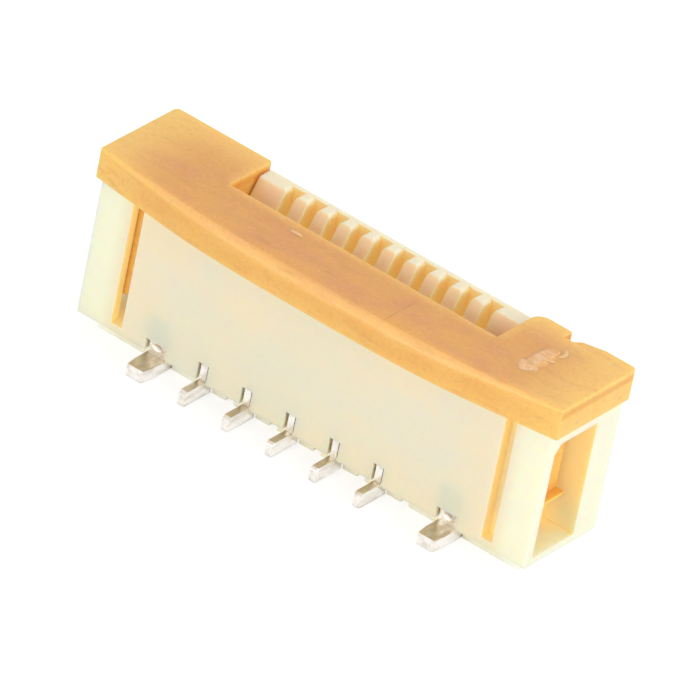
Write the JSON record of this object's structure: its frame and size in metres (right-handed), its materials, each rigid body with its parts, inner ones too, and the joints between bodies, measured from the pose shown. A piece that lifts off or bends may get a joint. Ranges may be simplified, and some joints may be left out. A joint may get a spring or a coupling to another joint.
{
  "type": "fpc connector",
  "caption": "Vertical surface-mount connector for flat flexible cable: ivory comb-walled housing, amber slide-lock actuator with a bowed front, staggered solder tails and solder tabs.",
  "frame": {"origin": "middle of the seating plane on the board, under the housing", "axes": "+X along the row of contacts, towards the end with the polarity notch; -Y out of the bowed front; +Z away from the board, the way the actuator lifts"},
  "size_m": [0.0208, 0.0062, 0.0075],
  "materials": {
    "ivory_nylon": "moulded, fine matte",
    "amber_resin": "moulded, slightly translucent, satin",
    "tinned_contact": "tin plated copper alloy, blanked edges",
    "tinned_tab": "tin plated copper alloy, formed strip"
  },
  "bodies": {
    "base": {"housing": "ivory_nylon", "contact_01": "tinned_contact", "contact_02": "tinned_contact", "contact_03": "tinned_contact", "contact_04": "tinned_contact", "contact_05": "tinned_contact", "contact_06": "tinned_contact", "contact_07": "tinned_contact", "contact_08": "tinned_contact", "contact_09": "tinned_contact", "contact_10": "tinned_contact", "solder_tab_left": "tinned_tab", "solder_tab_right": "tinned_tab"},
    "actuator": {"slider": "amber_resin"}
  },
  "joints": [
    {"name": "actuator_lift", "type": "slide", "parent": "base", "child": "actuator", "axis": [0, 0, 1], "range_m": [0, 0.0012]}
  ]
}
